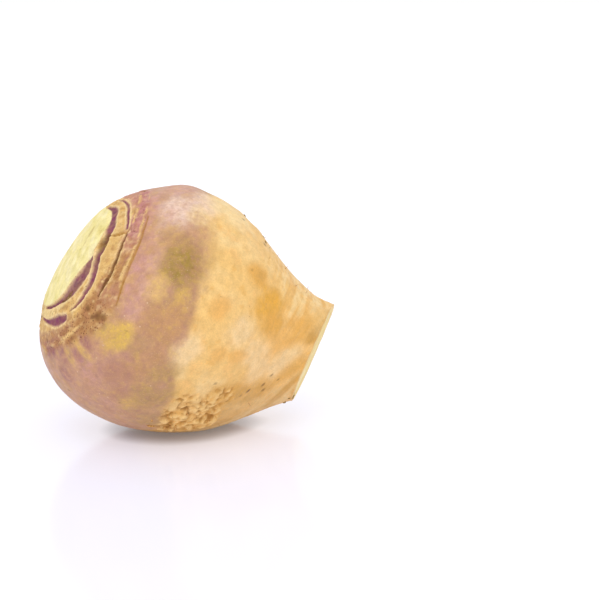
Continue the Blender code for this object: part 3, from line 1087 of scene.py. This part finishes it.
def skin_material(settings):
    """Skin: the laid colours, with speckles, lenticels and pores over them."""
    material = bpy.data.materials.new("swede_skin")
    material.use_nodes = True
    tree = material.node_tree
    shader = tree.nodes["Principled BSDF"]
    speckle = speckle_group()
    mottle = mottle_group()
    place = add_node(tree, "ShaderNodeTexCoord").outputs["Object"]
    tint = add_node(tree, "ShaderNodeAttribute", attribute_name="skin_colour").outputs["Color"]
    masks = add_node(tree, "ShaderNodeAttribute", attribute_name="skin_masks")
    parts = add_node(tree, "ShaderNodeSeparateColor", {0: masks.outputs["Color"]})
    cork, scab, flesh = parts.outputs[0], parts.outputs[1], parts.outputs[2]
    mauve = masks.outputs["Alpha"]
    freckles = add_node(tree, "ShaderNodeAttribute", attribute_name="freckles").outputs["Fac"]
    speckled = do_math(tree, "MULTIPLY", cork, freckles)
    rings = add_node(tree, "ShaderNodeAttribute", attribute_name="ring_place").outputs["Vector"]
    not_flesh = do_math(tree, "SUBTRACT", 1.0, flesh)
    broad = placed(tree, mottle, {"Vector": place, "Scale": 260.0, "Low": 0.93, "High": 1.07})
    fine = placed(tree, mottle, {"Vector": place, "Scale": 1400.0, "Low": 0.93, "High": 1.07})
    drawn = placed(tree, mottle, {"Vector": rings, "Scale": 60.0, "Low": 0.985, "High": 1.015})
    shade = do_math(tree, "MULTIPLY", do_math(tree, "MULTIPLY", broad, fine), drawn)
    grey = add_node(tree, "ShaderNodeCombineColor", {0: shade, 1: shade, 2: shade}).outputs[0]
    colour = mix_colours(tree, 1.0, tint, grey, "MULTIPLY")
    blush = placed(tree, mottle, {"Vector": place, "Scale": 620.0, "Low": 0.0, "High": 0.34})
    blush = do_math(tree, "MULTIPLY", blush, mauve)
    colour = mix_colours(tree, blush, colour, linear4(BLUSH))
    warm = placed(tree, mottle, {"Vector": place, "Scale": 340.0, "Low": 0.0, "High": 0.22})
    warm = do_math(tree, "MULTIPLY", warm, not_flesh)
    colour = mix_colours(tree, warm, colour, linear4(WARM_CLOUD))
    # Specks as (scale, size, share of cells, where they lie, strength, colour).
    spots = (
        (900.0, 0.45, 0.55, speckled, 0.8, CORK_SPECK),
        (640.0, 0.26, 0.25, speckled, 0.85, DARK_BROWN),
        (520.0, 0.2, 0.16, cork, 0.6, DARK_BROWN),
        (1300.0, 0.36, 0.35, mauve, 0.28, OCHRE_FLECK),
        (300.0, 0.13, 0.22, mauve, 0.55, LENTICEL),
        (700.0, 0.3, 0.3, scab, 0.4, SCAB_BROWN_AND_SHADE),
        (240.0, 0.08, 0.25, not_flesh, 0.5, SKIN_SPECK),
    )
    for scale, size, share, where, strength, shade_of in spots:
        mask = placed(tree, speckle, {"Vector": place, "Scale": scale, "Size": size, "Share": share})
        mask = do_math(tree, "MULTIPLY", do_math(tree, "MULTIPLY", mask, where), strength)
        colour = mix_colours(tree, mask, colour, linear4(shade_of))
    tree.links.new(colour, shader.inputs["Base Color"])
    worn = do_math(tree, "MAXIMUM", do_math(tree, "MAXIMUM", cork, scab), flesh)
    polish = placed(tree, mottle, {"Vector": place, "Scale": 200.0, "Low": 0.36, "High": 0.56})
    rough = do_math(tree, "ADD", polish, do_math(tree, "MULTIPLY", worn, 0.25))
    tree.links.new(rough, shader.inputs["Roughness"])
    pores = add_node(tree, "ShaderNodeTexNoise", {"Vector": place, "Scale": 1700.0, "Detail": 4.0})
    crust = add_node(tree, "ShaderNodeTexNoise", {"Vector": place, "Scale": 800.0, "Detail": 5.0})
    lines = add_node(tree, "ShaderNodeTexNoise", {"Vector": rings, "Scale": 110.0, "Detail": 3.0})
    relief = do_math(tree, "MULTIPLY", pores.outputs[0], 0.25)
    crusty = do_math(tree, "MULTIPLY", worn, 0.8)
    relief = do_math(tree, "ADD", relief, do_math(tree, "MULTIPLY", crust.outputs[0], crusty))
    relief = do_math(tree, "ADD", relief, do_math(tree, "MULTIPLY", lines.outputs[0], 0.15))
    bump = add_node(
        tree, "ShaderNodeBump", {"Height": relief, "Strength": 0.35, "Distance": settings.pore_depth}
    )
    tree.links.new(bump.outputs[0], shader.inputs["Normal"])
    shader.inputs["Specular IOR Level"].default_value = 0.22
    return material


def plain_material(name, colour, other, scale, roughness):
    """A dull earthy finish: two colours mottled together, with a rough surface."""
    material = bpy.data.materials.new(name)
    material.use_nodes = True
    tree = material.node_tree
    shader = tree.nodes["Principled BSDF"]
    place = add_node(tree, "ShaderNodeTexCoord").outputs["Object"]
    cloud = add_node(tree, "ShaderNodeTexNoise", {"Vector": place, "Scale": scale, "Detail": 4.0})
    share = spread(tree, cloud.outputs[0], 0.35, 0.65)
    mixed = mix_colours(tree, share, linear4(colour), linear4(other))
    tree.links.new(mixed, shader.inputs["Base Color"])
    bump = add_node(
        tree, "ShaderNodeBump", {"Height": cloud.outputs[0], "Strength": 0.5, "Distance": 0.0004}
    )
    tree.links.new(bump.outputs[0], shader.inputs["Normal"])
    shader.inputs["Roughness"].default_value = roughness
    return material


def colour_setting(name, description, colour):
    """A colour that a user can change, with a daylight colour as its default."""
    return bpy.props.FloatVectorProperty(
        name=name,
        description=description,
        subtype="COLOR",
        size=3,
        default=tuple(from_daylight(colour)),
        min=0.0,
        max=1.0,
    )


class SwedeSettings(bpy.types.PropertyGroup):
    """The colours and depths of the swede's skin"""

    root_side: colour_setting("Root side", "Colour of the cream skin towards the root", CREAM)
    shoulder: colour_setting("Shoulder", "Colour of the mauve skin next to the crown", MAUVE)
    scar: colour_setting("Leaf scars", "Colour of the purple leaf scars", PURPLE)
    flesh: colour_setting("Cut flesh", "Colour of the trimmed crown disc", FLESH)
    scar_depth: bpy.props.FloatProperty(
        name="Leaf scar depth",
        description="How deep the leaf scars are, as a share of a usual one",
        default=1.0,
        min=0.0,
        max=2.0,
        subtype="FACTOR",
    )
    wrinkle_height: bpy.props.FloatProperty(
        name="Wrinkle height",
        description="Height of the rings round the neck, in mm",
        default=0.09,
        min=0.0,
        max=1.0,
    )
    scab_height: bpy.props.FloatProperty(
        name="Scab height",
        description="How rough the scab under the globe is, as a share of a usual one",
        default=1.0,
        min=0.0,
        max=2.0,
        subtype="FACTOR",
    )
    pore_depth: bpy.props.FloatProperty(
        name="Pore depth",
        description="Depth of the skin's pores and crust",
        default=0.0006,
        min=0.0,
        max=0.002,
        subtype="DISTANCE",
        unit="LENGTH",
    )


class StudioSettings(bpy.types.PropertyGroup):
    """The floor and the light round the swede"""

    key_power: bpy.props.FloatProperty(
        name="Key light", description="Power of the large soft light", default=3.2, min=0.0, unit="POWER"
    )
    surround: bpy.props.FloatProperty(
        name="Surround", description="Brightness of the surround at the horizon", default=1.0, min=0.0
    )
    surround_top: bpy.props.FloatProperty(
        name="Surround overhead", description="Brightness of the surround overhead", default=0.88, min=0.0
    )
    floor_colour: bpy.props.FloatVectorProperty(
        name="Floor colour",
        description="Colour of the glossy floor",
        subtype="COLOR",
        size=3,
        default=(0.56, 0.575, 0.72),
        min=0.0,
        max=1.0,
    )


class SWEDE_OT_skin(bpy.types.Operator):
    """Builds the swede's whole skin, from the crown disc to the root cut"""

    bl_idname = "swede.skin"
    bl_label = "Skin"

    def execute(self, context):
        settings = context.scene.swede_settings
        skin = Skin(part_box(NODE), settings)
        masks = np.stack(
            [
                skin.cork,
                skin.scab,
                np.maximum(skin.flesh_crown, skin.face),
                skin.shoulder * (1 - skin.cork) * (1 - skin.flesh_crown),
            ],
            axis=-1,
        )
        opaque = np.ones((*skin.over.shape, 1))
        turn = np.radians(skin.angle)
        ring_place = np.stack(
            [skin.over * 0.012, 0.09 * np.cos(turn), 0.09 * np.sin(turn)], axis=-1
        )
        mesh = rings_mesh(
            "swede_skin",
            skin.points * MM,
            (
                ("skin_colour", "FLOAT_COLOR", np.concatenate([skin.colours, opaque], axis=-1)),
                ("skin_masks", "FLOAT_COLOR", masks),
                ("ring_place", "FLOAT_VECTOR", ring_place),
                ("freckles", "FLOAT", skin.freckles[..., None]),
            ),
        )
        Skin.made = skin
        obj = add_piece("swede_skin", mesh, skin_material(settings))
        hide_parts(NODE)
        return {"FINISHED"}


class SWEDE_OT_rootlets(bpy.types.Operator):
    """Grows the fine rootlets out of the neck and the lower skin"""

    bl_idname = "swede.rootlets"
    bl_label = "Rootlets"

    def execute(self, context):
        skin = Skin.made
        paths = []
        thickness = []
        part = np.linspace(0, 1, 9)
        for number, (distance, middle, length) in enumerate(ROOTLETS):
            point, facing = skin.spot(distance, middle)
            bend = corner_number(np.array([[number, 7, 1], [number, 8, 2], [number, 9, 3]]), 5)
            path = point - 0.5 * facing + part[:, None] * length * facing
            path = path + (part**2)[:, None] * length * 0.5 * bend
            path[:, 2] = np.maximum(path[:, 2], ROOTLET_CLEARANCE)
            paths.append(path * MM)
            thickness.append((0.2 - 0.14 * part) * MM)
        mesh = tubes_mesh("rootlets", paths, thickness)
        add_piece("rootlets", mesh, plain_material("rootlet_skin", TAN, RUSSET, 900.0, 0.75))
        return {"FINISHED"}


class SWEDE_OT_crumbs(bpy.types.Operator):
    """Sticks crumbs of soil and of dry scab to the skin"""

    bl_idname = "swede.crumbs"
    bl_label = "Crumbs"

    def execute(self, context):
        skin = Skin.made
        for name, places, colours in (
            ("soil_crumbs", SOIL_CRUMBS, SOIL),
            ("scab_crumbs", SCAB_CRUMBS, DRY_SCAB),
        ):
            spots = [(*skin.spot(distance, middle), size) for distance, middle, size in places]
            add_piece(name, crumbs_mesh(name, spots), plain_material(name, *colours, 1500.0, 0.9))
        return {"FINISHED"}


class SWEDE_OT_stage(bpy.types.Operator):
    """Builds the floor, the surround, the lights and the camera"""

    bl_idname = "swede.stage"
    bl_label = "Studio"

    def execute(self, context):
        settings = context.scene.studio_settings
        add_floor(settings)
        add_surround(settings)
        add_lights(settings)
        add_camera()
        context.scene.view_settings.view_transform = "Standard"
        return {"FINISHED"}


def add_floor(settings):
    """A wide glossy floor just under the swede, with a glow of its own that is dimmed close beneath it into
    a painted contact shadow.
    """
    side = 60.0
    level = -0.0002
    corners = [(-side, -side, level), (side, -side, level), (side, side, level), (-side, side, level)]
    mesh = bpy.data.meshes.new("floor")
    mesh.from_pydata(corners, [], [(0, 1, 2, 3)])
    obj = bpy.data.objects.new("floor", mesh)
    bpy.context.scene.collection.objects.link(obj)
    material = bpy.data.materials.new("floor")
    material.use_nodes = True
    shader = material.node_tree.nodes["Principled BSDF"]
    shader.inputs["Base Color"].default_value = (*settings.floor_colour, 1.0)
    shader.inputs["Roughness"].default_value = 0.16
    shader.inputs["Emission Color"].default_value = (0.96, 0.96, 1.0, 1.0)
    # Painted contact shadow: ambient occlusion dims the floor's glow close under the swede.
    close = add_node(material.node_tree, "ShaderNodeAmbientOcclusion", {"Distance": 0.008})
    glow = spread(material.node_tree, close.outputs["AO"], 0.1, 1.0, 0.1, 0.42)
    material.node_tree.links.new(glow, shader.inputs["Emission Strength"])
    mesh.materials.append(material)


def add_surround(settings):
    """A white surround, a little dimmer overhead than at the horizon."""
    world = bpy.data.worlds.new("studio")
    world.use_nodes = True
    tree = world.node_tree
    background = tree.nodes["Background"]
    background.inputs["Color"].default_value = (1.0, 1.0, 1.0, 1.0)
    place = add_node(tree, "ShaderNodeTexCoord").outputs["Generated"]
    height = add_node(tree, "ShaderNodeSeparateXYZ", {0: place}).outputs["Z"]
    level = spread(tree, height, 0.0, 0.7, settings.surround, settings.surround_top)
    tree.links.new(level, background.inputs["Strength"])
    bpy.context.scene.world = world


def add_lights(settings):
    """A large soft light high on the left, turned towards the swede."""
    place = (-0.1, -0.75, 0.95)
    middle_of_swede = np.array([0.0, 0.0, 0.055])
    light = bpy.data.lights.new("key", "AREA")
    light.shape = "SQUARE"
    light.size = 0.9
    light.energy = settings.key_power
    obj = bpy.data.objects.new("key", light)
    bpy.context.scene.collection.objects.link(obj)
    aim = middle_of_swede - np.array(place)
    obj.location = place
    flat = np.hypot(aim[0], aim[1])
    obj.rotation_euler = (np.arctan2(flat, -aim[2]), 0.0, np.arctan2(aim[1], aim[0]) - np.pi / 2)


def add_camera():
    """A long lens, a little above the swede, with the swede left of the middle."""
    camera = bpy.data.cameras.new("camera")
    camera.lens = 85.0
    camera.sensor_width = 36.0
    obj = bpy.data.objects.new("camera", camera)
    obj.location = (0.056, -0.655, 0.201)
    obj.rotation_euler = (np.radians(78.0), 0.0, 0.0)
    bpy.context.scene.collection.objects.link(obj)
    bpy.context.scene.camera = obj


class SWEDE_PT_panel(bpy.types.Panel):
    """Lists the swede's settings and the steps that build it"""

    bl_label = "Swede"
    bl_idname = "SWEDE_PT_panel"
    bl_space_type = "VIEW_3D"
    bl_region_type = "UI"
    bl_category = "Swede"

    def draw(self, context):
        layout = self.layout
        for settings in (context.scene.swede_settings, context.scene.studio_settings):
            for name in settings.__annotations__:
                layout.prop(settings, name)
        for operator in OPERATORS:
            layout.operator(operator.bl_idname)


OPERATORS = (SWEDE_OT_skin, SWEDE_OT_rootlets, SWEDE_OT_crumbs, SWEDE_OT_stage)
CLASSES = (SwedeSettings, StudioSettings, *OPERATORS, SWEDE_PT_panel)


def register():
    """Adds the settings, operators and panel to Blender."""
    for cls in CLASSES:
        bpy.utils.register_class(cls)
    bpy.types.Scene.swede_settings = bpy.props.PointerProperty(type=SwedeSettings)
    bpy.types.Scene.studio_settings = bpy.props.PointerProperty(type=StudioSettings)


def unregister():
    """Takes them away again."""
    del bpy.types.Scene.studio_settings
    del bpy.types.Scene.swede_settings
    for cls in reversed(CLASSES):
        bpy.utils.unregister_class(cls)


def main():
    """Builds the swede and its studio."""
    register()
    bpy.ops.swede.skin()
    bpy.ops.swede.rootlets()
    bpy.ops.swede.crumbs()
    bpy.ops.swede.stage()


if __name__ == "__main__":
    main()
